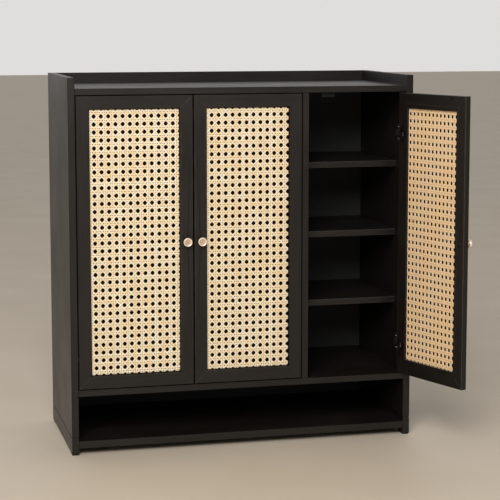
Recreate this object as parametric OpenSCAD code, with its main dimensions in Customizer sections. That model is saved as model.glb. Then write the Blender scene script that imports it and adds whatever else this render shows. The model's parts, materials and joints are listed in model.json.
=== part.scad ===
// Shoe cabinet with three cane doors, a gallery rim and an open shoe shelf under the doors.
// Millimetres, +Z up, the front faces -Y. The origin is on the floor, at the centre of the space
// that the whole cabinet takes with its right door standing open.

/* [Cabinet] */
// Width over the two side panels
cabinet_width = 1000; // [940:10:1100]
// Height from the floor to the top of the gallery rim
cabinet_height = 1060; // [1020:10:1140]
// Depth of the side panels from front to back
cabinet_depth = 430; // [380:10:440]
// Thickness of the two side panels
side_thickness = 20; // [18:1:24]
// Thickness of every other board
board = 18; // [16:1:20]
// Height of the gallery rim above the top panel
gallery_height = 30; // [20:1:40]

/* [Base] */
// Height of the skid under each side panel, measured from the floor
skid_top = 52; // [50:1:60]
// Height and depth of the shadow line between a skid and its side panel
shadow_line = 2.5; // [0:0.5:3]
// Thickness of the glides under the skids
glide_thickness = 5; // [3:1:8]
// Length of one glide along the skid
glide_length = 40; // [30:5:60]
// Underside of the shoe shelf above the floor
shoe_shelf_bottom = 20; // [18:1:24]
// Thickness of the shoe shelf
shoe_shelf_thickness = 20; // [18:1:22]
// Top of the deck under the doors, above the floor
deck_top = 186; // [170:2:200]

/* [Bays] */
// Clear width of the narrow bay behind the right door
right_bay_width = 292; // [260:1:320]
// Top of the lowest adjustable shelf above the floor
lowest_shelf_top = 401; // [380:1:410]
// Distance from one adjustable shelf to the next
shelf_spacing = 203; // [190:1:205]
// Distance of the adjustable shelves behind the front edges
shelf_setback = 82; // [60:2:100]

/* [Doors] */
// Thickness of the door frames
door_thickness = 18; // [18:1:20]
// Width of the stiles and rails
frame_width = 36; // [36:1:42]
// Gap between a door and the boards around it
door_gap = 2.5; // [2.5:0.1:3]
// Gap between the free edges of the two doors of the wide bay
meeting_gap = 4; // [2.5:0.1:4]
// Distance of that gap to the right of the middle of the wide bay
meeting_offset = 7; // [0:1:10]
// How far the right door stands open
open_angle = 110; // [0:1:110]
// Height of the knobs above the floor
knob_height = 598; // [500:1:700]
// Diameter of a knob's head
knob_diameter = 25; // [22:1:30]
// Thickness of the cane webbing
cane_thickness = 2.5; // [2:0.1:3]

/* [Hinges] */
// Centre of the upper hinge below the door's top edge
upper_hinge_inset = 120; // [100:5:150]
// Centre of the lower hinge above the door's bottom edge
lower_hinge_inset = 80; // [70:5:150]
// Distance of the hinge pin from the door's edge and from its front face
pin_inset = 4.5; // [4.5:0.1:4.7]

/* [Hidden] */
$fn = 48;

// Carcass levels and widths
half_width = cabinet_width / 2;
half_depth = cabinet_depth / 2;
inner_x = half_width - side_thickness;
front_y = -half_depth;
back_sheet = 6;
back_sheet_y = half_depth - 2 - back_sheet;
boards_depth = back_sheet_y - front_y;
gallery_front_y = half_depth - 2 - board;
top_bottom = cabinet_height - gallery_height - board;
top_top = cabinet_height - gallery_height;
deck_bottom = deck_top - board;
shoe_shelf_top = shoe_shelf_bottom + shoe_shelf_thickness;
partition_x = inner_x - right_bay_width - board;
partition_mid_x = partition_x + board / 2;
back_split_z = deck_bottom + board / 2;
edge_break = 1;

// Doors, each drawn about its hinge pin with its free edge towards -X
door_bottom = deck_top + door_gap;
door_top = top_bottom - door_gap;
door_height = door_top - door_bottom;
wide_bay_width = partition_x + inner_x;
mean_pair_width = (wide_bay_width - 2 * door_gap - meeting_gap) / 2;
left_door_width = mean_pair_width + meeting_offset;
middle_door_width = mean_pair_width - meeting_offset;
right_door_width = right_bay_width - 2 * door_gap;
pin_y = front_y + pin_inset;
left_pin_x = -inner_x + door_gap + pin_inset;
middle_pin_x = partition_x - door_gap - pin_inset;
right_pin_x = inner_x - door_gap - pin_inset;
wall_from_pin = door_gap + pin_inset;
face_y = -pin_inset;
inside_y = door_thickness - pin_inset;
rebate_width = 6;
rebate_y = face_y + 9;
cane_play = 1;
bead_thickness = 6;
rail_bead_width = 13;
stile_bead_width = 7;
lip_bevel = 2;
knob_from_edge = 19;
knob_reach = 22;

// Hinges
hinge_heights = [door_bottom + lower_hinge_inset, door_top - upper_hinge_inset];
hinge_pin_radius = 1.5;
hinge_eye_bore = 1.55;
hinge_eye_radius = 2.6;
arm_thickness = 2;
arm_half_height = 8;
plate_thickness = 2;
plate_start = 38;
plate_length = 34;
plate_half_height = 25;
plate_screw_offset = 17;
plate_screw_y = plate_start + plate_length / 2;
cup_radius = 13;
cup_from_pin = 13;
cup_depth = 11;
pocket_front = -3.1;
pocket_half_height = 9;

// Fittings inside the carcass
cam_ys = [-0.375 * cabinet_depth, 0.35 * cabinet_depth];
dowel_ys = [-0.225 * cabinet_depth, 0.2 * cabinet_depth];
post_dowel_ys = [-0.3 * cabinet_depth, 0, 0.275 * cabinet_depth];
cam_from_end = 34;
cam_radius = 7.5;
cam_depth = 12.5;
bolt_radius = 3.4;
bolt_bore = 3.5;
dowel_radius = 3.95;
dowel_bore = 4;
shelf_pin_radius = 2.45;
shelf_pin_bore = 2.5;
shelf_pin_grip = 8;
shelf_pin_ys = [front_y + shelf_setback + 40, back_sheet_y - 40];
shelf_tops = [for (i = [0 : 2]) lowest_shelf_top + i * shelf_spacing];
nail_radius = 0.8;
nail_head_radius = 2.5;
nail_length = 17;
nail_columns = 7;
nail_spacing = (2 * inner_x - 60) / (nail_columns - 1);
catch_x_from_edge = 60;

// Centre of the floor space of the whole cabinet, with the right door standing open: it runs to
// the free inner corner of that door and to the rim of its knob
knob_rim_x = pin_inset - right_door_width + knob_from_edge - (knob_diameter / 2 - 2.2);
free_edge_x = pin_inset - right_door_width;
knob_tip_y = face_y - knob_reach;
open_tip_x = right_pin_x + knob_rim_x * cos(open_angle) - knob_tip_y * sin(open_angle);
open_tip_y = pin_y + free_edge_x * sin(open_angle) + inside_y * cos(open_angle);
footprint_x = (max(open_tip_x, half_width) - half_width) / 2;
footprint_y = (min(open_tip_y, front_y) + half_depth) / 2;

black_paint = [0.11, 0.105, 0.1];
inner_black = [0.07, 0.07, 0.07];
cane_straw = [0.87, 0.74, 0.52];
champagne = [0.83, 0.72, 0.5];
steel = [0.72, 0.72, 0.74];
beech = [0.78, 0.62, 0.42];
plastic_black = [0.05, 0.05, 0.05];

// ---- Placing ----

// Carcass coordinates have their origin under the middle of the carcass
module carcass() {
    translate([-footprint_x, -footprint_y, 0]) children();
}

module left_door() {
    carcass() translate([left_pin_x, pin_y, 0]) mirror([1, 0, 0]) children();
}

module middle_door() {
    carcass() translate([middle_pin_x, pin_y, 0]) children();
}

module right_door() {
    carcass() translate([right_pin_x, pin_y, 0]) rotate([0, 0, open_angle]) children();
}

// The two faces that a hinge's fixed half sits on point to +X or, mirrored, to -X
module at_fixed_hinges() {
    for (z = hinge_heights) {
        translate([left_pin_x, pin_y, z]) mirror([1, 0, 0]) children();
        translate([middle_pin_x, pin_y, z]) children();
        translate([right_pin_x, pin_y, z]) children();
    }
}

module at_door_hinges() {
    for (z = hinge_heights) translate([0, 0, z]) children();
}

// Both ends of the boards that span the sides: local +X runs into the board from the side's face
module at_board_ends(ys) {
    for (z = [top_bottom + board / 2, deck_bottom + board / 2,
              shoe_shelf_bottom + shoe_shelf_thickness / 2], y = ys) {
        translate([-inner_x, y, z]) children();
        translate([inner_x, y, z]) mirror([1, 0, 0]) children();
    }
}

// ---- Shapes that repeat ----

// A board with its edges just broken
module plain_board(x, y, z) {
    b = edge_break;
    intersection() {
        linear_extrude(height = z) polygon([
            [b, 0], [x - b, 0], [x, b], [x, y - b], [x - b, y], [b, y], [0, y - b], [0, b]]);
        translate([x, 0, 0]) rotate([0, -90, 0]) linear_extrude(height = x) polygon([
            [b, 0], [z - b, 0], [z, b], [z, y - b], [z - b, y], [b, y], [0, y - b], [0, b]]);
    }
}

module along_x(length, radius) {
    rotate([0, 90, 0]) cylinder(h = length, r = radius);
}

module along_y(length, radius) {
    rotate([-90, 0, 0]) cylinder(h = length, r = radius);
}

module dowel_holes_x() {
    at_board_ends(dowel_ys) translate([-12, 0, 0]) along_x(30, dowel_bore);
}

module bolt_holes() {
    at_board_ends(cam_ys) translate([-10, 0, 0]) along_x(cam_from_end - cam_radius + 11, bolt_bore);
}

module cam_holes() {
    for (z = [top_bottom, deck_bottom, shoe_shelf_bottom], y = cam_ys, s = [-1, 1])
        translate([s * (inner_x - cam_from_end), y, z - 0.01]) cylinder(h = cam_depth, r = cam_radius);
}

// Vertical dowels: under and over the partition, and between each side and its skid
module post_dowels(radius, play) {
    for (y = post_dowel_ys) {
        for (z = [deck_top - 10, top_bottom - 18])
            translate([partition_mid_x, y, z + play]) cylinder(h = 28 - 2 * play, r = radius);
        for (s = [-1, 1])
            translate([s * (half_width - side_thickness / 2), y, skid_top - 15 + play])
                cylinder(h = 35 - 2 * play, r = radius);
    }
}

// Dowels between the top panel's rear edge and the gallery back, midway between nails
module gallery_dowels(radius, play) {
    for (i = [-2.5, -0.5, 0.5, 2.5])
        translate([i * nail_spacing, gallery_front_y - 12 + play, top_bottom + board / 2])
            along_y(21 - 2 * play, radius);
}

module shelf_pin_row(x, inward) {
    for (top = shelf_tops, y = shelf_pin_ys)
        translate([x, y, top - board - shelf_pin_bore]) rotate([0, inward * 90, 0]) children();
}

module shelf_pin_holes() {
    for (face = [[-inner_x, 1], [partition_x, -1], [partition_x + board, 1], [inner_x, -1]])
        shelf_pin_row(face[0], face[1]) translate([0, 0, -shelf_pin_grip])
            cylinder(h = shelf_pin_grip + 1, r = shelf_pin_bore);
}

module hinge_screw_holes() {
    at_fixed_hinges() for (s = [-1, 1])
        translate([wall_from_pin - 1, plate_screw_y, s * plate_screw_offset]) along_x(13, 1.8);
}

// ---- Carcass ----

module side_panel(x) {
    difference() {
        translate([x, front_y, skid_top])
            plain_board(side_thickness, cabinet_depth, cabinet_height - skid_top);
        dowel_holes_x();
        bolt_holes();
        post_dowels(dowel_bore, 0);
        shelf_pin_holes();
        hinge_screw_holes();
    }
}

module side_left() {
    color(black_paint) carcass() side_panel(-half_width);
}

module side_right() {
    color(black_paint) carcass() side_panel(inner_x);
}

module skid(x) {
    difference() {
        translate([x, front_y, glide_thickness])
            plain_board(side_thickness, cabinet_depth, skid_top - glide_thickness);
        for (edge = [x - 1, x + side_thickness - shadow_line])
            translate([edge, front_y - 1, skid_top - shadow_line])
                cube([shadow_line + 1, cabinet_depth + 2, shadow_line + 1]);
        dowel_holes_x();
        bolt_holes();
        post_dowels(dowel_bore, 0);
    }
}

module skid_left() {
    color(black_paint) carcass() skid(-half_width);
}

module skid_right() {
    color(black_paint) carcass() skid(inner_x);
}

module foot_glides() {
    color(plastic_black) carcass()
        for (s = [-1, 1], y = [front_y + 3, half_depth - 3 - glide_length])
            translate([s * (half_width - side_thickness / 2) - side_thickness / 2 + 1, y, 0])
                plain_board(side_thickness - 2, glide_length, glide_thickness);
}

module top_panel() {
    color(black_paint) carcass() difference() {
        translate([-inner_x, front_y, top_bottom])
            plain_board(2 * inner_x, gallery_front_y - front_y, board);
        dowel_holes_x();
        bolt_holes();
        cam_holes();
        post_dowels(dowel_bore, 0);
        gallery_dowels(dowel_bore, 0);
    }
}

// Stands behind the top panel, with a rebate at the back for the back sheets
module gallery_back() {
    color(black_paint) carcass() difference() {
        translate([-inner_x, gallery_front_y, top_bottom])
            plain_board(2 * inner_x, board, board + gallery_height);
        translate([-half_width, back_sheet_y, top_bottom - 1])
            cube([cabinet_width, back_sheet + 1, board + 1]);
        gallery_dowels(dowel_bore, 0);
    }
}

module deck() {
    color(black_paint) carcass() difference() {
        translate([-inner_x, front_y, deck_bottom]) plain_board(2 * inner_x, boards_depth, board);
        dowel_holes_x();
        bolt_holes();
        cam_holes();
        post_dowels(dowel_bore, 0);
    }
}

module shoe_shelf() {
    color(black_paint) carcass() difference() {
        translate([-inner_x, front_y, shoe_shelf_bottom])
            plain_board(2 * inner_x, boards_depth, shoe_shelf_thickness);
        dowel_holes_x();
        bolt_holes();
        cam_holes();
    }
}

module partition() {
    color(black_paint) carcass() difference() {
        translate([partition_x, front_y, deck_top])
            plain_board(board, boards_depth, top_bottom - deck_top);
        post_dowels(dowel_bore, 0);
        shelf_pin_holes();
        hinge_screw_holes();
    }
}

module back_sheet_at(x, width, z, height) {
    color(inner_black) carcass() translate([x, back_sheet_y, z]) cube([width, back_sheet, height]);
}

module back_sheet_left() {
    back_sheet_at(-inner_x, partition_mid_x + inner_x, back_split_z, top_top - back_split_z);
}

module back_sheet_right() {
    back_sheet_at(partition_mid_x, inner_x - partition_mid_x, back_split_z, top_top - back_split_z);
}

module back_sheet_low() {
    back_sheet_at(-inner_x, 2 * inner_x, shoe_shelf_bottom, back_split_z - shoe_shelf_bottom);
}

// Adjustable shelves rest on pins with 1 mm of play at each end
module shelf_board(x, width, top) {
    color(black_paint) carcass()
        translate([x + 1, front_y + shelf_setback, top - board])
            plain_board(width - 2, boards_depth - shelf_setback - 1, board);
}

module left_shelf(level) {
    shelf_board(-inner_x, wide_bay_width, shelf_tops[level]);
}

module right_shelf(level) {
    shelf_board(partition_x + board, right_bay_width, shelf_tops[level]);
}

module shelf_left_low() { left_shelf(0); }
module shelf_left_mid() { left_shelf(1); }
module shelf_left_high() { left_shelf(2); }
module shelf_right_low() { right_shelf(0); }
module shelf_right_mid() { right_shelf(1); }
module shelf_right_high() { right_shelf(2); }

// ---- Carcass fittings ----

module shelf_pins() {
    color(steel) carcass()
        for (face = [[-inner_x, 1], [partition_x, -1], [partition_x + board, 1], [inner_x, -1]])
            shelf_pin_row(face[0], face[1])
                rotate_extrude() polygon([
                    [0, -shelf_pin_grip + 0.2], [shelf_pin_radius, -shelf_pin_grip + 0.2],
                    [shelf_pin_radius, 9], [0, 9]]);
}

module dowels() {
    color(beech) carcass() {
        at_board_ends(dowel_ys) translate([-11.8, 0, 0]) along_x(29.6, dowel_radius);
        post_dowels(dowel_radius, 0.2);
        gallery_dowels(dowel_radius, 0.2);
    }
}

module cam_locks() {
    slot = 1.6;
    color(steel) carcass()
        for (z = [top_bottom, deck_bottom, shoe_shelf_bottom], y = cam_ys, s = [-1, 1])
            translate([s * (inner_x - cam_from_end), y, z + 0.3]) difference() {
                cylinder(h = cam_depth - 0.4, r = cam_radius - 0.1);
                for (turn = [0, 90]) rotate([0, 0, turn])
                    translate([-4, -slot / 2, -1]) cube([8, slot, 3]);
            }
}

module cam_bolts() {
    color(steel) carcass() at_board_ends(cam_ys)
        translate([-9.8, 0, 0]) along_x(9.8 + cam_from_end - cam_radius - 0.2, bolt_radius);
}

module nail() {
    rotate([-90, 0, 0]) rotate_extrude($fn = 24) polygon([
        [0, -nail_length], [nail_radius, -nail_length + 2], [nail_radius, 0],
        [nail_head_radius, 0], [nail_head_radius, 0.8], [0, 1.2]]);
}

// Nails run through the back sheets into the edges of the boards in front of them
module back_nails() {
    color(steel) carcass() translate([0, half_depth - 2, 0]) {
        for (i = [0 : nail_columns - 1]) {
            x = -inner_x + 30 + nail_spacing * i;
            translate([x, 0, top_bottom + board / 2]) nail();
            translate([x, 0, deck_top - board / 4]) nail();
            translate([x, 0, deck_bottom + board / 4]) nail();
            translate([x, 0, shoe_shelf_bottom + shoe_shelf_thickness / 2]) nail();
        }
        for (i = [1 : 5], s = [-1, 1])
            translate([partition_mid_x + s * board / 4, 0,
                       deck_top + (top_bottom - deck_top) * i / 6]) nail();
    }
}

// One catch under the top panel behind each door, over its strike plate
module magnet_catches() {
    meeting_x = left_pin_x - pin_inset + left_door_width;
    right_free_x = right_pin_x + pin_inset - right_door_width;
    color(plastic_black) carcass()
        for (x = [meeting_x - catch_x_from_edge, meeting_x + meeting_gap + catch_x_from_edge,
                  right_free_x + catch_x_from_edge])
            translate([x - 20, front_y + door_thickness + 1.7, top_bottom - 14])
                plain_board(40, 14, 14);
}

// ---- Hinges ----

// Fixed half: a plate on the wall, a block, and an arm that ends in an eye around the pin
module hinge_arm() {
    h = arm_half_height;
    difference() {
        union() {
            translate([0, 0, -h]) cylinder(h = 2 * h, r = hinge_eye_radius);
            translate([-arm_thickness / 2, 1, -h])
                cube([arm_thickness, plate_screw_y + 8 - 1, 2 * h]);
            translate([arm_thickness / 2 - 0.5, plate_screw_y - 9, -h])
                cube([wall_from_pin - plate_thickness - arm_thickness / 2 + 1, 17, 2 * h]);
            translate([wall_from_pin - plate_thickness, plate_start, -plate_half_height])
                cube([plate_thickness, plate_length, 2 * plate_half_height]);
        }
        translate([0, 0, -h - 1]) cylinder(h = 2 * h + 2, r = hinge_eye_bore);
        for (s = [-1, 1]) translate([0, plate_screw_y, s * plate_screw_offset])
            along_x(wall_from_pin + 1, 1.8);
    }
}

module hinge_arms() {
    color(steel) carcass() at_fixed_hinges() hinge_arm();
}

module hinge_arm_screws() {
    head = wall_from_pin - plate_thickness;
    color(steel) carcass() at_fixed_hinges() for (s = [-1, 1])
        translate([0, plate_screw_y, s * plate_screw_offset]) difference() {
            rotate([0, 90, 0]) rotate_extrude() polygon([
                [0, head - 2.2], [2.4, head - 2], [3.4, head - 1.2], [3.4, head],
                [1.75, head], [1.75, head + 10], [0, head + 12.5]]);
            translate([head - 3, -2.2, -0.4]) cube([1.4, 4.4, 0.8]);
            translate([head - 3, -0.4, -2.2]) cube([1.4, 0.8, 4.4]);
        }
}

// Room in the hinge stile for the cup, the eye and the swinging arm
module hinge_pocket() {
    translate([-cup_from_pin, inside_y - cup_depth, 0]) along_y(cup_depth + 1, cup_radius);
    translate([pocket_front, pocket_front, -pocket_half_height])
        cube([pin_inset - pocket_front + 1, inside_y - pocket_front + 1, 2 * pocket_half_height]);
}

module hinge_pin_hole() {
    translate([0, 0, -16]) cylinder(h = 32, r = hinge_pin_radius);
}

// Moving half: a cup let into the stile, with a flange on the stile's inner face
module hinge_cup() {
    flange = 1.2;
    difference() {
        union() {
            translate([-cup_from_pin, inside_y - cup_depth, 0]) along_y(cup_depth, cup_radius);
            translate([-cup_from_pin - 8, inside_y, -24]) cube([16, flange, 48]);
        }
        translate([-cup_from_pin, inside_y - cup_depth + 1, 0])
            along_y(cup_depth + 5, cup_radius - 1);
        translate([pocket_front, pocket_front, -pocket_half_height - 6])
            cube([20, 30, 2 * pocket_half_height + 12]);
    }
}

// ---- Doors ----

// Section of a frame piece: [distance from its outer edge, depth], with a back rebate for the cane
module frame_section() {
    w = frame_width;
    polygon([
        [0, face_y + edge_break], [edge_break, face_y], [w - lip_bevel, face_y],
        [w, face_y + lip_bevel], [w, rebate_y], [w - rebate_width, rebate_y],
        [w - rebate_width, inside_y], [edge_break, inside_y], [0, inside_y - edge_break]]);
}

// A frame piece of the given length along +Z with its outer edge at x = 0 and mitred ends
module mitred_piece(length) {
    w = frame_width;
    intersection() {
        linear_extrude(height = length) frame_section();
        translate([0, inside_y + 1, 0]) rotate([90, 0, 0])
            linear_extrude(height = door_thickness + 2)
                polygon([[0, 0], [w, w], [w, length - w], [0, length]]);
    }
}

module hinge_stile() {
    color(black_paint) difference() {
        translate([pin_inset, 0, door_bottom]) mirror([1, 0, 0]) mitred_piece(door_height);
        at_door_hinges() {
            hinge_pocket();
            hinge_pin_hole();
        }
    }
}

module free_stile(width) {
    color(black_paint) difference() {
        translate([pin_inset - width, 0, door_bottom]) mitred_piece(door_height);
        at_knob(width) translate([0, -20, 0]) along_y(60, 2.2);
    }
}

module top_rail(width) {
    color(black_paint) translate([pin_inset - width, 0, door_top])
        rotate([0, 90, 0]) mitred_piece(width);
}

module bottom_rail(width) {
    color(black_paint) translate([pin_inset, 0, door_bottom])
        rotate([0, -90, 0]) mitred_piece(width);
}

// The webbing sits in the rebate, held by four beads that reach in past the frame
module cane(width) {
    inset = frame_width - rebate_width + cane_play;
    color(cane_straw)
        translate([pin_inset - width + inset, rebate_y, door_bottom + inset])
            cube([width - 2 * inset, cane_thickness, door_height - 2 * inset]);
}

module cane_beads(width) {
    inset = frame_width - rebate_width + cane_play;
    low_x = pin_inset - width + inset;
    span_x = width - 2 * inset;
    span_z = door_height - 2 * inset;
    y = rebate_y + cane_thickness;
    color(black_paint) {
        for (x = [low_x, low_x + span_x - stile_bead_width])
            translate([x, y, door_bottom + inset])
                cube([stile_bead_width, bead_thickness, span_z]);
        for (z = [door_bottom + inset, door_top - inset - rail_bead_width])
            translate([low_x + stile_bead_width, y, z])
                cube([span_x - 2 * stile_bead_width, bead_thickness, rail_bead_width]);
    }
}

module at_knob(width) {
    translate([pin_inset - width + knob_from_edge, 0, knob_height]) children();
}

// A turned knob: foot, waist and a round head with a shallow dish
module knob(width) {
    r = knob_diameter / 2;
    color(champagne) at_knob(width) translate([0, face_y, 0]) rotate([90, 0, 0]) difference() {
        rotate_extrude($fn = 64) polygon([
            [0, 0], [7.5, 0], [7.5, 1.5], [6, 3.5], [5, 7], [5.4, 10.5], [8, 12.8],
            [r - 1.2, 14.2], [r, 15.6], [r, 19.4], [r - 0.8, 21.2], [r - 2.2, knob_reach],
            [r - 3.4, 21.6], [r - 5, 20.8], [0, 20.4]]);
        translate([0, 0, -1]) cylinder(h = 12, r = 2);
    }
}

module knob_screw(width) {
    color(steel) at_knob(width) difference() {
        rotate([90, 0, 0]) rotate_extrude() polygon([
            [0, 10 + pin_inset], [1.9, 9 + pin_inset], [1.9, -inside_y], [4.2, -inside_y],
            [4.2, -inside_y - 1.4], [3, -inside_y - 2.6], [0, -inside_y - 3]]);
        translate([-3, inside_y + 1.8, -0.5]) cube([6, 2, 1]);
    }
}

module hinge_cups() {
    color(steel) at_door_hinges() hinge_cup();
}

module hinge_pins() {
    color(steel) at_door_hinges() translate([0, 0, -16]) cylinder(h = 32, r = hinge_pin_radius);
}

module strike_plate(width) {
    color(steel)
        translate([pin_inset - width + catch_x_from_edge, inside_y, door_top - 8])
            along_y(1.2, 6);
}

module left_hinge_stile() { left_door() hinge_stile(); }
module left_free_stile() { left_door() free_stile(left_door_width); }
module left_top_rail() { left_door() top_rail(left_door_width); }
module left_bottom_rail() { left_door() bottom_rail(left_door_width); }
module left_cane() { left_door() cane(left_door_width); }
module left_cane_beads() { left_door() cane_beads(left_door_width); }
module left_knob() { left_door() knob(left_door_width); }
module left_knob_screw() { left_door() knob_screw(left_door_width); }
module left_hinge_cups() { left_door() hinge_cups(); }
module left_hinge_pins() { left_door() hinge_pins(); }
module left_strike_plate() { left_door() strike_plate(left_door_width); }

module middle_hinge_stile() { middle_door() hinge_stile(); }
module middle_free_stile() { middle_door() free_stile(middle_door_width); }
module middle_top_rail() { middle_door() top_rail(middle_door_width); }
module middle_bottom_rail() { middle_door() bottom_rail(middle_door_width); }
module middle_cane() { middle_door() cane(middle_door_width); }
module middle_cane_beads() { middle_door() cane_beads(middle_door_width); }
module middle_knob() { middle_door() knob(middle_door_width); }
module middle_knob_screw() { middle_door() knob_screw(middle_door_width); }
module middle_hinge_cups() { middle_door() hinge_cups(); }
module middle_hinge_pins() { middle_door() hinge_pins(); }
module middle_strike_plate() { middle_door() strike_plate(middle_door_width); }

module right_hinge_stile() { right_door() hinge_stile(); }
module right_free_stile() { right_door() free_stile(right_door_width); }
module right_top_rail() { right_door() top_rail(right_door_width); }
module right_bottom_rail() { right_door() bottom_rail(right_door_width); }
module right_cane() { right_door() cane(right_door_width); }
module right_cane_beads() { right_door() cane_beads(right_door_width); }
module right_knob() { right_door() knob(right_door_width); }
module right_knob_screw() { right_door() knob_screw(right_door_width); }
module right_hinge_cups() { right_door() hinge_cups(); }
module right_hinge_pins() { right_door() hinge_pins(); }
module right_strike_plate() { right_door() strike_plate(right_door_width); }

// ---- Nodes ----

side_left();
side_right();
skid_left();
skid_right();
foot_glides();
top_panel();
gallery_back();
deck();
shoe_shelf();
partition();
back_sheet_left();
back_sheet_right();
back_sheet_low();
shelf_left_low();
shelf_left_mid();
shelf_left_high();
shelf_right_low();
shelf_right_mid();
shelf_right_high();
shelf_pins();
dowels();
cam_locks();
cam_bolts();
back_nails();
magnet_catches();
hinge_arms();
hinge_arm_screws();
left_hinge_stile();
left_free_stile();
left_top_rail();
left_bottom_rail();
left_cane();
left_cane_beads();
left_knob();
left_knob_screw();
left_hinge_cups();
left_hinge_pins();
left_strike_plate();
middle_hinge_stile();
middle_free_stile();
middle_top_rail();
middle_bottom_rail();
middle_cane();
middle_cane_beads();
middle_knob();
middle_knob_screw();
middle_hinge_cups();
middle_hinge_pins();
middle_strike_plate();
right_hinge_stile();
right_free_stile();
right_top_rail();
right_bottom_rail();
right_cane();
right_cane_beads();
right_knob();
right_knob_screw();
right_hinge_cups();
right_hinge_pins();
right_strike_plate();
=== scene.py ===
import json
import math
import random

import bpy
from mathutils import Matrix, Vector


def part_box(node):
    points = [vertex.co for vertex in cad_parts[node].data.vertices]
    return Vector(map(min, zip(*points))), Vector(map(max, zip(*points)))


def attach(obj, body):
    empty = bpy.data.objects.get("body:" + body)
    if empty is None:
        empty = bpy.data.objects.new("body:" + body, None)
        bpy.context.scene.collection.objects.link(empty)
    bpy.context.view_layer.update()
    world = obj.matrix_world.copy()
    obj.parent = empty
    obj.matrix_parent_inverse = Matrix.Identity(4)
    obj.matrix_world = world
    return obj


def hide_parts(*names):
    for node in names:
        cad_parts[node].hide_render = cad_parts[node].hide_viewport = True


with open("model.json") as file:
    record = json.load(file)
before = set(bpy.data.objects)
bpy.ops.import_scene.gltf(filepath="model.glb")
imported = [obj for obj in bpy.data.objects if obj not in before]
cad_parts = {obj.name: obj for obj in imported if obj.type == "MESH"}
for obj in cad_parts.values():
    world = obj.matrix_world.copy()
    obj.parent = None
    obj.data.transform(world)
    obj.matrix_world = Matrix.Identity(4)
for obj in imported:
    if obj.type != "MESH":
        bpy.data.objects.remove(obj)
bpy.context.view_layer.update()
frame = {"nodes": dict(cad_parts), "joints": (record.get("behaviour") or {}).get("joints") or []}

MM = 0.001
DOORS = ("left", "middle", "right")


# ---------------------------------------------------------------- node trees

def new_material(name):
    """An empty node material with its Principled shader joined to the output."""
    material = bpy.data.materials.new(name)
    material.use_nodes = True
    tree = material.node_tree
    tree.nodes.clear()
    output = tree.nodes.new("ShaderNodeOutputMaterial")
    shader = tree.nodes.new("ShaderNodeBsdfPrincipled")
    tree.links.new(shader.outputs["BSDF"], output.inputs["Surface"])
    return material, tree, shader


def add_node(tree, kind, inputs=None, **settings):
    """One node, with its settings and its inputs by name; an input is a socket or a value."""
    node = tree.nodes.new(kind)
    for key, value in settings.items():
        setattr(node, key, value)
    for key, value in (inputs or {}).items():
        if isinstance(value, bpy.types.NodeSocket):
            tree.links.new(value, node.inputs[key])
        else:
            node.inputs[key].default_value = value
    return node


def object_place(tree):
    """Object coordinates, in metres."""
    return add_node(tree, "ShaderNodeTexCoord").outputs["Object"]


def grain_place(tree, direction, turn=0.0, squeeze=0.04):
    """Object coordinates, turned about Z and squeezed so that noise runs along one axis."""
    turned = add_node(tree, "ShaderNodeMapping", {
        "Vector": object_place(tree), "Rotation": (0, 0, -turn)}).outputs["Vector"]
    scale = [1.0, 1.0, 1.0]
    scale["XYZ".index(direction)] = squeeze
    return add_node(tree, "ShaderNodeMapping", {
        "Vector": turned, "Scale": scale}).outputs["Vector"]


def noise(tree, vector, scale, detail=3.0, roughness=0.5):
    """Grey noise at the given scale."""
    node = add_node(tree, "ShaderNodeTexNoise", {
        "Vector": vector, "Scale": scale, "Detail": detail, "Roughness": roughness})
    return node.outputs["Fac"]


def ramp(tree, factor, stops):
    """A colour ramp driven by a socket; stops are (position, grey or rgb)."""
    node = add_node(tree, "ShaderNodeValToRGB", {"Fac": factor})
    elements = node.color_ramp.elements
    while len(elements) < len(stops):
        elements.new(0.5)
    for element, (position, colour) in zip(elements, stops):
        element.position = position
        rgb = (colour,) * 3 if isinstance(colour, (int, float)) else colour
        element.color = (*rgb, 1)
    return node.outputs["Color"]


def mixed(tree, factor, a, b):
    """Colours a and b mixed by a factor socket; each colour is a socket or an rgb."""
    node = add_node(tree, "ShaderNodeMix", data_type="RGBA")
    sockets = {s.identifier: s for s in node.inputs}
    tree.links.new(factor, sockets["Factor_Float"])
    for key, colour in (("A_Color", a), ("B_Color", b)):
        if isinstance(colour, bpy.types.NodeSocket):
            tree.links.new(colour, sockets[key])
        else:
            sockets[key].default_value = (*colour, 1)
    return next(s for s in node.outputs if s.identifier == "Result_Color")


def spread(tree, pattern, low, high, dark=0.3, light=0.8):
    """A grey pattern, whose dark and light ends become the values low and high."""
    node = add_node(tree, "ShaderNodeMapRange", {
        "Value": pattern, "From Min": dark, "From Max": light, "To Min": low, "To Max": high})
    return node.outputs["Result"]


def set_colour(tree, shader, colour):
    tree.links.new(colour, shader.inputs["Base Color"])


def set_roughness(tree, shader, roughness):
    tree.links.new(roughness, shader.inputs["Roughness"])


def set_relief(tree, shader, pattern, strength, distance):
    """Bumps from a grey pattern; distance is in metres."""
    relief = add_node(tree, "ShaderNodeBump", {
        "Height": pattern, "Strength": strength, "Distance": distance})
    tree.links.new(relief.outputs["Normal"], shader.inputs["Normal"])


# ---------------------------------------------------------------- materials

PAINT_SPECULAR = 0.38


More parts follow.
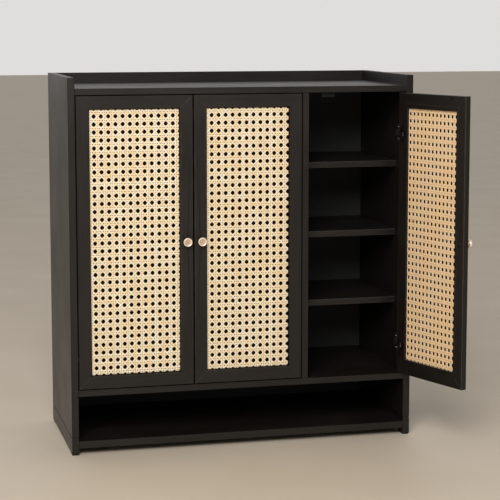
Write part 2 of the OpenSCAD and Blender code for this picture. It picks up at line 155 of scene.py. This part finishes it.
def black_paint(direction, turn=0.0):
    """Satin near-black paint over wood: open grain that runs along one axis, and handling marks."""
    material, tree, shader = new_material(f"black_paint_{direction}_{round(math.degrees(turn))}")
    grain = grain_place(tree, direction, turn)
    fine = noise(tree, grain, 420.0, 4.0, 0.62)
    broad = noise(tree, grain, 55.0)
    cloud = noise(tree, object_place(tree), 6.0)

    base = ramp(tree, broad, [(0.3, (0.0058, 0.0042, 0.0033)), (0.75, (0.0105, 0.0080, 0.0064))])
    streaked = mixed(tree, ramp(tree, fine, [(0.45, 0.0), (0.8, 0.4)]), base,
                     (0.0210, 0.0160, 0.0130))
    rubbed = mixed(tree, ramp(tree, cloud, [(0.5, 0.0), (0.8, 0.35)]), streaked,
                   (0.0180, 0.0140, 0.0115))
    set_colour(tree, shader, rubbed)
    shader.inputs["Specular IOR Level"].default_value = PAINT_SPECULAR

    rough = add_node(tree, "ShaderNodeMath", {
        0: spread(tree, cloud, 0.37, 0.47, light=0.75),
        1: spread(tree, fine, -0.03, 0.05)}, operation="ADD")
    set_roughness(tree, shader, rough.outputs["Value"])

    pores = add_node(tree, "ShaderNodeBump", {
        "Height": fine, "Strength": 0.16, "Distance": 0.0004})
    brushed = add_node(tree, "ShaderNodeBump", {
        "Height": broad, "Strength": 0.10, "Distance": 0.0012,
        "Normal": pores.outputs["Normal"]})
    tree.links.new(brushed.outputs["Normal"], shader.inputs["Normal"])
    return material


def worn_paint():
    """The same paint where edges are rubbed thin: browner, paler and smoother in patches."""
    material, tree, shader = new_material("worn_edge_paint")
    patches = noise(tree, object_place(tree), 35.0, 4.0, 0.6)
    set_colour(tree, shader, ramp(tree, patches, [(0.35, (0.018, 0.014, 0.012)),
                                                  (0.7, (0.060, 0.048, 0.040))]))
    set_roughness(tree, shader, spread(tree, patches, 0.48, 0.36))
    shader.inputs["Specular IOR Level"].default_value = PAINT_SPECULAR
    return material


def back_sheet():
    """Thin lacquered fibreboard: flat black with a felted speckle."""
    material, tree, shader = new_material("back_sheet")
    place = object_place(tree)
    speckle = noise(tree, place, 900.0, 2.0, 0.7)
    cloud = noise(tree, place, 9.0)
    base = ramp(tree, speckle, [(0.35, (0.010, 0.010, 0.010)), (0.75, (0.024, 0.023, 0.022))])
    faded = mixed(tree, ramp(tree, cloud, [(0.4, 0.0), (0.8, 0.5)]), base, (0.028, 0.026, 0.025))
    set_colour(tree, shader, faded)
    set_relief(tree, shader, speckle, 0.25, 0.0003)
    shader.inputs["Roughness"].default_value = 0.72
    return material


def cane_straw():
    """Split cane: a glossy skin with streaks and a tint of its own on each strand, tan behind."""
    material, tree, shader = new_material("cane_straw")
    strand = add_node(tree, "ShaderNodeUVMap", uv_map="strand").outputs["UV"]
    along = add_node(tree, "ShaderNodeMapping", {
        "Vector": strand, "Scale": (18.0, 900.0, 1.0)}).outputs["Vector"]
    streaks = noise(tree, along, 1.0, 4.0, 0.6)
    blotch_place = add_node(tree, "ShaderNodeMapping", {
        "Vector": strand, "Scale": (60.0, 60.0, 1.0)}).outputs["Vector"]
    blotches = noise(tree, blotch_place, 1.0, 2.0)
    tint = add_node(tree, "ShaderNodeAttribute", attribute_name="tint").outputs["Fac"]
    is_pith = add_node(tree, "ShaderNodeAttribute", attribute_name="pith").outputs["Fac"]

    skin = mixed(tree, tint, (0.91, 0.72, 0.44), (0.98, 0.92, 0.74))
    streaked = mixed(tree, ramp(tree, streaks, [(0.38, 0.0), (0.72, 0.60)]), skin,
                     (0.62, 0.39, 0.17))
    spotted = mixed(tree, ramp(tree, blotches, [(0.55, 0.0), (0.8, 0.35)]), streaked,
                    (0.78, 0.54, 0.27))
    pith = mixed(tree, streaks, (0.95, 0.70, 0.43), (0.78, 0.53, 0.30))
    set_colour(tree, shader, mixed(tree, is_pith, spotted, pith))
    set_roughness(tree, shader, spread(tree, streaks, 0.38, 0.6))
    set_relief(tree, shader, streaks, 0.3, 0.0002)
    return material


def metal(name, light, dark, roughness):
    """Plated metal with fine turning marks and uneven polish."""
    material, tree, shader = new_material(name)
    marks = noise(tree, grain_place(tree, "X", squeeze=0.08), 700.0, 3.0, 0.6)
    cloud = noise(tree, object_place(tree), 60.0)
    set_colour(tree, shader, mixed(tree, cloud, light, dark))
    set_roughness(tree, shader, spread(tree, marks, roughness - 0.06, roughness + 0.1))
    set_relief(tree, shader, marks, 0.12, 0.0001)
    shader.inputs["Metallic"].default_value = 1.0
    return material


def champagne_knob():
    """Satin champagne finish with brushed marks: a tan dish, and a pale colour on the rim and the
    rest of the knob that is a painted highlight.
    """
    material, tree, shader = new_material("champagne_brass")
    place = object_place(tree)
    marks = noise(tree, place, 900.0, 3.0, 0.6)
    cloud = noise(tree, place, 140.0)
    rim_highlight_mask = add_node(tree, "ShaderNodeAttribute", attribute_name="rim").outputs["Fac"]
    dish = mixed(tree, cloud, (0.72, 0.52, 0.35), (0.55, 0.38, 0.24))
    # Painted highlight: the pale colour stands in for the light that the rounded rim catches.
    pale = mixed(tree, cloud, (0.96, 0.86, 0.72), (0.90, 0.77, 0.60))
    set_colour(tree, shader, mixed(tree, rim_highlight_mask, dish, pale))
    set_roughness(tree, shader, spread(tree, marks, 0.30, 0.46))
    set_relief(tree, shader, marks, 0.12, 0.0001)
    shader.inputs["Metallic"].default_value = 0.45
    return material


def raw_beech():
    """Turned beech dowel: pale, with short dark flecks."""
    material, tree, shader = new_material("raw_beech")
    flecks = noise(tree, grain_place(tree, "X", squeeze=0.1), 600.0, 3.0, 0.6)
    set_colour(tree, shader, ramp(tree, flecks, [(0.35, (0.62, 0.43, 0.26)),
                                                 (0.7, (0.45, 0.28, 0.15))]))
    shader.inputs["Roughness"].default_value = 0.7
    return material


def black_plastic():
    """Moulded matt black plastic with a fine spark texture."""
    material, tree, shader = new_material("black_plastic")
    spark = noise(tree, object_place(tree), 1800.0, 2.0, 0.6)
    set_colour(tree, shader, ramp(tree, spark, [(0.3, 0.004), (0.8, 0.010)]))
    set_relief(tree, shader, spark, 0.3, 0.0002)
    shader.inputs["Roughness"].default_value = 0.6
    shader.inputs["Specular IOR Level"].default_value = 0.25
    return material


def shade_black_material():
    """Near-black matt sheet with a fibrous fleck: painted shade, for the shadow seen through the
    webbing's holes and on the cane's edge under the frame's lip.
    """
    material, tree, shader = new_material("painted_shade_black")
    fibres = noise(tree, object_place(tree), 1400.0, 4.0, 0.7)
    set_colour(tree, shader, ramp(tree, fibres, [(0.35, (0.0012, 0.0009, 0.0008)),
                                                 (0.75, (0.0050, 0.0036, 0.0028))]))
    set_relief(tree, shader, fibres, 0.4, 0.0002)
    shader.inputs["Roughness"].default_value = 0.9
    shader.inputs["Specular IOR Level"].default_value = 0.1
    return material


def pale_floor():
    """A plain pale floor with faint cloudy variation."""
    material, tree, shader = new_material("pale_floor")
    cloud = noise(tree, object_place(tree), 3.0)
    set_colour(tree, shader, ramp(tree, cloud, [(0.3, (0.62, 0.53, 0.42)),
                                                (0.7, (0.66, 0.57, 0.46))]))
    shader.inputs["Roughness"].default_value = 0.6
    return material


# ---------------------------------------------------------------- how each door stands

def hinge_of(door):
    """The joint record of a door's hinge."""
    return next(j for j in frame["joints"] if j["name"] == f"{door}_door_hinge")


def door_turn(door):
    """How far the door stands open in the rest pose, about +Z, in radians."""
    low = hinge_of(door)["range_deg"][0]
    return math.radians(-low) if low < 0 else 0.0


def door_matrix(door):
    """Turns the door's closed directions, about its hinge pin, to where it stands."""
    pin = Vector(hinge_of(door)["pos_m"])
    pin.z = 0
    return Matrix.Translation(pin) @ Matrix.Rotation(door_turn(door), 4, "Z")


def box_in(node, matrix):
    """Lowest and highest corner of a CAD node in the given frame."""
    back = matrix.inverted()
    points = [back @ v.co for v in frame["nodes"][node].data.vertices]
    low = Vector([min(p[i] for p in points) for i in range(3)])
    high = Vector([max(p[i] for p in points) for i in range(3)])
    return low, high


# ---------------------------------------------------------------- meshes

def mesh_object(name, vertices, faces, matrix=Matrix.Identity(4)):
    """A new object, whose vertices are given in the matrix's frame."""
    mesh = bpy.data.meshes.new(name)
    mesh.from_pydata([matrix @ Vector(v) for v in vertices], [], faces)
    mesh.update()
    piece = bpy.data.objects.new(name, mesh)
    bpy.context.scene.collection.objects.link(piece)
    return piece


def shade_smooth(piece):
    for polygon in piece.data.polygons:
        polygon.use_smooth = True


def add_attribute(piece, name, values):
    """A number for each vertex, which a material can read by name."""
    attribute = piece.data.attributes.new(name, "FLOAT", "POINT")
    attribute.data.foreach_set("value", values)


def add_bevel(piece, width):
    bevel = piece.modifiers.new("round_edges", "BEVEL")
    bevel.width = width
    bevel.segments = 2
    return bevel


def add_weld(piece, threshold):
    weld = piece.modifiers.new("join_corners", "WELD")
    weld.merge_threshold = threshold


# ---------------------------------------------------------------- cane webbing

# How often the webbing repeats, in x and z. The photo shows a finer webbing on the right door.
REPEAT = {"left": (20.2 * MM, 22.1 * MM), "middle": (20.2 * MM, 22.1 * MM),
          "right": (16.4 * MM, 20.6 * MM)}
# A column of holes, right of the opening's left edge on the closed door
FIRST_COLUMN = {"left": 14.6 * MM, "middle": 16.2 * MM, "right": 10.0 * MM}
# A row of holes, below the opening's top edge
FIRST_ROW = {"left": -1.5 * MM, "middle": -0.8 * MM, "right": 2.5 * MM}
# Half the distance between the two strands of a pair: upright strands, level strands
PAIR_X = 2.6 * MM
PAIR_Z = 3.1 * MM
# Widths of the upright, level and diagonal strands
WIDTH_X = 3.8 * MM
WIDTH_Z = 4.0 * MM
WIDTH_DIAGONAL = 4.2 * MM
STRAND_THICKNESS = 0.42 * MM
# How far a strand rises and dips from the middle of its layer
PLAIN_WAVE = 0.28 * MM
DIAGONAL_WAVE = 0.62 * MM
# The sheet between the cane layers is near-black as painted shade: it darkens the holes where
# shadow falls.
SHADE_SHEET_THICKNESS = 0.2 * MM
SHADE_SHEET_UNEVENNESS = 0.04 * MM
# Seeds of the random tints and of the unevenness of the painted-shade sheet, counted up from door
# to door
WEAVE_SEED = 11
SHADE_SHEET_SEED = 31
# The spline is near-black as a painted shadow: it darkens the cane's edge where the frame's lip
# shades it.
# Section of the spline in millimetres: (inwards from the opening's edge, out from the cane)
SPLINE_SECTION = ((0.0, -0.6), (0.0, 1.2), (0.5, 1.7), (1.4, 1.7), (2.0, 1.1), (2.0, -0.6))
SPLINE_ROUNDING = 0.25 * MM


class Weave:
    """Collects flat strands as ribbons with a domed face, with a strand UV and a tint each."""

    # Section of a strand, in shares of its width and thickness; the domed side is the skin
    SECTION = ((-0.5, -0.5), (0.5, -0.5), (0.5, 0.1), (0.22, 0.5), (-0.22, 0.5), (-0.5, 0.1))
    # Distance over which the starts of the strands' streaks are scattered, in metres
    STREAK_SPREAD = 7

    def __init__(self, seed, face):
        """face is -1 for the side that a closed door shows, 1 for the side towards the bay."""
        self.random = random.Random(seed)
        self.face = face
        self.vertices = []
        self.faces = []
        self.uvs = []
        self.tints = []
        self.piths = []

    def strand(self, points, across, width, thickness):
        """A ribbon through points (x, y, z); across is its flat unit direction in x and z."""
        first = len(self.vertices)
        count = len(self.SECTION)
        tint = self.random.random()
        shift = self.random.random() * self.STREAK_SPREAD
        length = 0.0
        lengths = []
        for i, (x, y, z) in enumerate(points):
            if i:
                last = points[i - 1]
                length += math.hypot(x - last[0], z - last[2])
            lengths.append(length)
            for u, h in self.SECTION:
                self.vertices.append((x + across[0] * u * width,
                                      y + self.face * h * thickness,
                                      z + across[1] * u * width))
                self.tints.append(tint)
                self.piths.append(1.0 if self.face > 0 or h < 0 else 0.0)
        for i in range(len(points) - 1):
            a = first + i * count
            near = lengths[i] + shift
            far = lengths[i + 1] + shift
            for k in range(count):
                n = (k + 1) % count
                v = self.SECTION[k][0] * width
                w = self.SECTION[n][0] * width
                self.add_face((a + k, a + n, a + count + n, a + count + k),
                              ((near, v), (near, w), (far, w), (far, v)))
        end = first + (len(points) - 1) * count
        for ring in (range(first + count - 1, first - 1, -1), range(end, end + count)):
            self.add_face(tuple(ring), ((shift, 0.0),) * count)

    def add_face(self, corners, uvs):
        """One face with its UVs, turned so that it looks outwards on either side."""
        order = 1 if self.face < 0 else -1
        self.faces.append(corners[::order])
        self.uvs.append(uvs[::order])

    def piece(self, name, matrix):
        """The finished layer as one object."""
        made = mesh_object(name, self.vertices, self.faces, matrix)
        layer = made.data.uv_layers.new(name="strand")
        flat = [value for face in self.uvs for uv in face for value in uv]
        layer.data.foreach_set("uv", flat)
        add_attribute(made, "tint", self.tints)
        add_attribute(made, "pith", self.piths)
        shade_smooth(made)
        return made


def pair_lines(low, high, first, repeat, half_pair):
    """(index, place) of every straight strand: two between each line of holes and the next."""
    lines = []
    start = math.floor((low - first) / repeat) - 1
    for k in range(start, start + int((high - low) / repeat) + 4):
        for side in (0, 1):
            place = first + (k + 0.5) * repeat + (2 * side - 1) * half_pair
            if low < place < high:
                lines.append((2 * k + side, place))
    return lines


def woven_points(low, high, crossings, parity):
    """(place, height) along a straight strand that goes over and under each crossing in turn."""
    points = [(low, 0.0)]
    for index, place in crossings:
        points.append((place, PLAIN_WAVE if (index + parity) % 2 else -PLAIN_WAVE))
    points.append((high, 0.0))
    full = []
    for (a, height_a), (b, height_b) in zip(points, points[1:]):
        full.append((a, height_a))
        full.append(((a + b) / 2, (height_a + height_b) / 2))
    full.append(points[-1])
    return full


def diagonal_points(x0, z0, repeat, slope, low, high):
    """(x, height, z) of one diagonal inside the panel: over one pair and under the next."""
    points = []
    step = repeat[0] / 4
    reach = int((high.x - low.x + high.z - low.z) / step) + 8
    for i in range(-reach, reach + 1):
        x = x0 + i * step
        z = z0 + slope * i * step * repeat[1] / repeat[0]
        if low.x < x < high.x and low.z < z < high.z:
            phase = math.pi * 2 * (x - x0) / repeat[0]
            points.append((x, slope * DIAGONAL_WAVE * math.cos(phase), z))
    return points


def woven_layer(door, face, low, high, hole_x, hole_z):
    """One layer of webbing over the whole CAD sheet, on one side of the near-black sheet of painted
    shade.
    """
    repeat = REPEAT[door]
    weave = Weave(WEAVE_SEED + DOORS.index(door) * 2 + (face + 1) // 2, face)
    half_layer = DIAGONAL_WAVE + STRAND_THICKNESS / 2
    layer_y = (low.y + high.y) / 2 + face * (SHADE_SHEET_THICKNESS / 2 + half_layer)

    def lay(path, across, width):
        weave.strand([(x, layer_y + face * height, z) for x, height, z in path], across,
                     width, STRAND_THICKNESS)

    uprights = pair_lines(low.x, high.x, hole_x, repeat[0], PAIR_X)
    levels = pair_lines(low.z, high.z, hole_z, repeat[1], PAIR_Z)
    for index, x in uprights:
        path = woven_points(low.z, high.z, levels, index)
        lay([(x, height, z) for z, height in path], (1, 0), WIDTH_X)
    for index, z in levels:
        path = woven_points(low.x, high.x, uprights, index + 1)
        lay([(x, height, z) for x, height in path], (0, 1), WIDTH_Z)
    norm = math.hypot(*repeat)
    span = int((high.x - low.x) / repeat[0] + (high.z - low.z) / repeat[1]) + 4
    for slope in (1, -1):
        across = (repeat[1] / norm, -slope * repeat[0] / norm)
        for k in range(-span, span + 1):
            start_x = hole_x + (k + 0.5) * repeat[0]
            path = diagonal_points(start_x, hole_z, repeat, slope, low, high)
            if len(path) > 3:
                lay(path, across, WIDTH_DIAGONAL)
    return weave


def painted_shade_sheet(door, low, high, matrix):
    """A near-black sheet between the two layers, which paints shade into every hole: one thin
    sheet, slightly uneven.
    """
    columns, rows = 24, 64
    wander = random.Random(SHADE_SHEET_SEED + DOORS.index(door))
    middle_y = (low.y + high.y) / 2
    vertices = []
    for j in range(rows + 1):
        for i in range(columns + 1):
            off = wander.uniform(-SHADE_SHEET_UNEVENNESS, SHADE_SHEET_UNEVENNESS)
            vertices.append((low.x + (high.x - low.x) * i / columns, middle_y + off,
                             low.z + (high.z - low.z) * j / rows))
    line = columns + 1
    faces = [(j * line + i, j * line + i + 1, (j + 1) * line + i + 1, (j + 1) * line + i)
             for j in range(rows) for i in range(columns)]
    sheet = mesh_object(f"{door}_cane_shade_sheet", vertices, faces, matrix)
    thick = sheet.modifiers.new("shade_sheet_thickness", "SOLIDIFY")
    thick.thickness = SHADE_SHEET_THICKNESS
    thick.offset = 0.0
    sheet.data.materials.append(SHADE_BLACK)
    return sheet


def spline_ring(door, opening_low, opening_high, cane_y, matrix):
    """The spline that holds the webbing, round the outer side of the opening, near-black as the
    painted shadow of the frame's lip on the cane's edge.
    """
    corners = ((opening_low.x, opening_low.z, 1, 1), (opening_high.x, opening_low.z, -1, 1),
               (opening_high.x, opening_high.z, -1, -1), (opening_low.x, opening_high.z, 1, -1))
    vertices = [(x + inward_x * u * MM, cane_y - h * MM, z + inward_z * u * MM)
                for x, z, inward_x, inward_z in corners for u, h in SPLINE_SECTION]
    count = len(SPLINE_SECTION)
    faces = []
    for c in range(len(corners)):
        here = c * count
        there = (c + 1) % len(corners) * count
        for k in range(count):
            n = (k + 1) % count
            faces.append((here + k, here + n, there + n, there + k))
    ring = mesh_object(f"{door}_cane_spline", vertices, faces, matrix)
    add_bevel(ring, SPLINE_ROUNDING)
    ring.data.materials.append(SHADE_BLACK)
    return ring


def cane_panel(door):
    """A panel of woven cane on both sides of a thin near-black sheet that paints shade into the
    holes, and its spline, near-black as a painted shadow round the opening.
    """
    matrix = door_matrix(door)
    low, high = box_in(f"{door}_cane", matrix)
    rail_low, rail_high = box_in(f"{door}_top_rail", matrix)
    bottom_rail_high = box_in(f"{door}_bottom_rail", matrix)[1]
    rail_width = rail_high.z - rail_low.z
    opening_low = Vector((rail_low.x + rail_width, 0, bottom_rail_high.z))
    opening_high = Vector((rail_high.x - rail_width, 0, rail_low.z))
    hole_x = opening_low.x + FIRST_COLUMN[door]
    hole_z = opening_high.z - FIRST_ROW[door]
    pieces = []
    for face, side in ((-1, "outer"), (1, "inner")):
        weave = woven_layer(door, face, low, high, hole_x, hole_z)
        piece = weave.piece(f"{door}_{side}_cane", matrix)
        piece.data.materials.append(CANE)
        pieces.append(piece)
    shade_sheet = painted_shade_sheet(door, low, high, matrix)
    spline = spline_ring(door, opening_low, opening_high, low.y, matrix)
    for piece in (shade_sheet, spline):
        pieces.append(piece)
    for piece in pieces:
        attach(piece, f"{door}_door")
        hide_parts(f"{door}_cane")


# ---------------------------------------------------------------- knobs

KNOB_TURNS = 72
# The part of a knob that counts as its dish: above this height and within this share of the radius
DISH_START = 11.0 * MM
DISH_SHARE = 0.72


def knob_profile(radius, reach):
    """Radius and distance from the door along a turned knob: foot, neck, head, rim and dish."""
    foot_radius, foot_height = 7.4 * MM, 1.2 * MM
    neck_low, neck_high = 1.8 * MM, 7.0 * MM
    neck_wide, neck_narrow = 6.6 * MM, 4.9 * MM
    head_top, head_inset = 14.5 * MM, 0.7 * MM
    rim_height, rim_width = 2.9 * MM, 1.595 * MM
    dish_inset, dish_depth = 1.6 * MM, 1.7 * MM

    points = [(0.0, 0.0), (foot_radius, 0.0), (foot_radius, foot_height)]
    for i in range(9):
        t = i / 8
        blend = 0.5 - 0.5 * math.cos(math.pi * t)
        points.append((neck_wide + (neck_narrow - neck_wide) * blend,
                       neck_low + (neck_high - neck_low) * t))
    for i in range(1, 9):
        t = i / 8
        points.append((neck_narrow + (radius - head_inset - neck_narrow) * t ** 2.2,
                       neck_high + (head_top - neck_high) * t))
    for i in range(1, 13):
        angle = math.pi * i / 12
        points.append((radius - rim_width + rim_width * math.sin(angle),
                       reach - rim_height - rim_height * math.cos(angle)))
    for i in range(1, 9):
        t = i / 8
        points.append(((radius - dish_inset) * (1 - t),
                       reach - dish_depth * (1 - (1 - t) ** 3)))
    return points


def turned_knob(door):
    """A lathed knob in place of the CAD one, on the same axis."""
    matrix = door_matrix(door)
    low, high = box_in(f"{door}_knob", matrix)
    radius = (high.x - low.x) / 2
    centre = Vector(((low.x + high.x) / 2, high.y, (low.z + high.z) / 2))
    profile = knob_profile(radius, high.y - low.y)
    vertices = []
    for r, reach in profile:
        for k in range(KNOB_TURNS):
            angle = 2 * math.pi * k / KNOB_TURNS
            vertices.append((centre.x + r * math.cos(angle), centre.y - reach,
                             centre.z + r * math.sin(angle)))
    faces = []
    for i in range(len(profile) - 1):
        here = i * KNOB_TURNS
        there = here + KNOB_TURNS
        for k in range(KNOB_TURNS):
            n = (k + 1) % KNOB_TURNS
            faces.append((here + k, here + n, there + n, there + k))
    piece = mesh_object(f"{door}_turned_knob", vertices, faces, matrix)
    add_weld(piece, 0.01 * MM)
    shade_smooth(piece)
    dished = [reach > DISH_START and r < DISH_SHARE * radius for r, reach in profile]
    # Outside the dish the knob takes the pale colour of a painted highlight.
    add_attribute(piece, "rim", [0.0 if inside else 1.0 for inside in dished
                                 for _ in range(KNOB_TURNS)])
    piece.data.materials.append(BRASS)
    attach(piece, f"{door}_door")
    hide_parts(f"{door}_knob")


# ---------------------------------------------------------------- carried-over CAD nodes

EDGE_RADIUS = 0.5 * MM


def finish_node(node, material, rounded=False):
    """Gives a CAD node its material and, if rounded, small rounded edges, worn on painted nodes."""
    piece = frame["nodes"][node]
    piece.data.materials.clear()
    piece.data.materials.append(material)
    if rounded:
        if material.name.startswith("black_paint"):
            piece.data.materials.append(WORN_PAINT)
        add_weld(piece, 0.02 * MM)
        bevel = add_bevel(piece, EDGE_RADIUS)
        bevel.material = len(piece.data.materials) - 1
        bevel.limit_method = "ANGLE"
        bevel.angle_limit = math.radians(25)


def finish_carcass():
    """Materials of the boards, their fittings and the backs, with the grain along each board."""
    upright = black_paint("Z")
    level = black_paint("X")
    deep = black_paint("Y")
    for node in ("side_left", "side_right", "partition"):
        finish_node(node, upright, rounded=True)
    for node in ("skid_left", "skid_right"):
        finish_node(node, deep, rounded=True)
    for node in ("top_panel", "gallery_back", "deck", "shoe_shelf"):
        finish_node(node, level, rounded=True)
    for side in ("left", "right"):
        for height in ("low", "mid", "high"):
            finish_node(f"shelf_{side}_{height}", level, rounded=True)
    for node in ("back_sheet_left", "back_sheet_right", "back_sheet_low"):
        finish_node(node, BACK_SHEET)
    for node in ("shelf_pins", "cam_locks", "cam_bolts", "back_nails", "hinge_arms",
                 "hinge_arm_screws"):
        finish_node(node, STEEL)
    finish_node("dowels", BEECH)
    for node in ("foot_glides", "magnet_catches"):
        finish_node(node, PLASTIC, rounded=True)


def finish_door(door):
    """Materials of a door's frame, beads and fittings, with the grain along each frame piece."""
    turn = door_turn(door)
    upright = black_paint("Z", turn)
    level = black_paint("X", turn)
    for part in ("hinge_stile", "free_stile", "cane_beads"):
        finish_node(f"{door}_{part}", upright, rounded=True)
    for part in ("top_rail", "bottom_rail"):
        finish_node(f"{door}_{part}", level, rounded=True)
    for part in ("knob_screw", "hinge_cups", "hinge_pins", "strike_plate"):
        finish_node(f"{door}_{part}", DARK_STEEL)


# ---------------------------------------------------------------- studio

def add_camera():
    """Stands left of the cabinet and a little above it, with a long lens."""
    cabinet_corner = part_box("side_left")[0]
    to_the_left, in_front, eye_height = 0.589, 4.404, 1.225
    pitch_down, turn_right = math.radians(7.175), math.radians(14.07)
    data = bpy.data.cameras.new("camera")
    data.sensor_width = 36.0
    data.lens = 116.1
    data.shift_y = -0.06
    data.clip_end = 100.0
    camera = bpy.data.objects.new("camera", data)
    camera.location = (cabinet_corner.x - to_the_left, cabinet_corner.y - in_front, eye_height)
    camera.rotation_euler = (math.pi / 2 - pitch_down, 0, -turn_right)
    bpy.context.scene.collection.objects.link(camera)
    bpy.context.scene.camera = camera


def add_key_light():
    """One large soft light, high in front of the cabinet and to its left."""
    place = Vector((-1.6, -4.2, 3.2))
    target = Vector((0, 0, 0.5))
    data = bpy.data.lights.new("key", "AREA")
    data.size = 2.2
    data.energy = 212
    data.color = (1.0, 0.98, 0.95)
    light = bpy.data.objects.new("key", data)
    light.location = place
    light.rotation_euler = (target - place).to_track_quat("-Z", "Y").to_euler()
    bpy.context.scene.collection.objects.link(light)


def add_surroundings():
    """Pale even light from all round, brighter from behind the cabinet than from in front."""
    world = bpy.data.worlds.new("studio")
    world.use_nodes = True
    tree = world.node_tree
    background = tree.nodes["Background"]
    background.inputs["Color"].default_value = (0.93, 0.91, 0.89, 1)
    direction = add_node(tree, "ShaderNodeTexCoord").outputs["Generated"]
    towards_back = add_node(tree, "ShaderNodeSeparateXYZ", {0: direction}).outputs["Y"]
    strength = spread(tree, towards_back, 0.34, 0.80, dark=0.0, light=0.9)
    tree.links.new(strength, background.inputs["Strength"])
    bpy.context.scene.world = world


def add_floor():
    half = 30.0
    corners = [(-half, -half, 0), (half, -half, 0), (half, half, 0), (-half, half, 0)]
    floor = mesh_object("floor", corners, [(0, 1, 2, 3)])
    floor.data.materials.append(pale_floor())


# ---------------------------------------------------------------- build

BACK_SHEET = back_sheet()
CANE = cane_straw()
BRASS = champagne_knob()
STEEL = metal("nickel_steel", (0.42, 0.42, 0.43), (0.30, 0.30, 0.31), 0.36)
DARK_STEEL = metal("black_nickel_steel", (0.045, 0.045, 0.045), (0.025, 0.025, 0.025), 0.52)
WORN_PAINT = worn_paint()
BEECH = raw_beech()
PLASTIC = black_plastic()
SHADE_BLACK = shade_black_material()

bpy.context.scene.view_settings.view_transform = "Standard"
add_camera()
add_key_light()
add_surroundings()
add_floor()
finish_carcass()
for each_door in DOORS:
    finish_door(each_door)
    cane_panel(each_door)
    turned_knob(each_door)
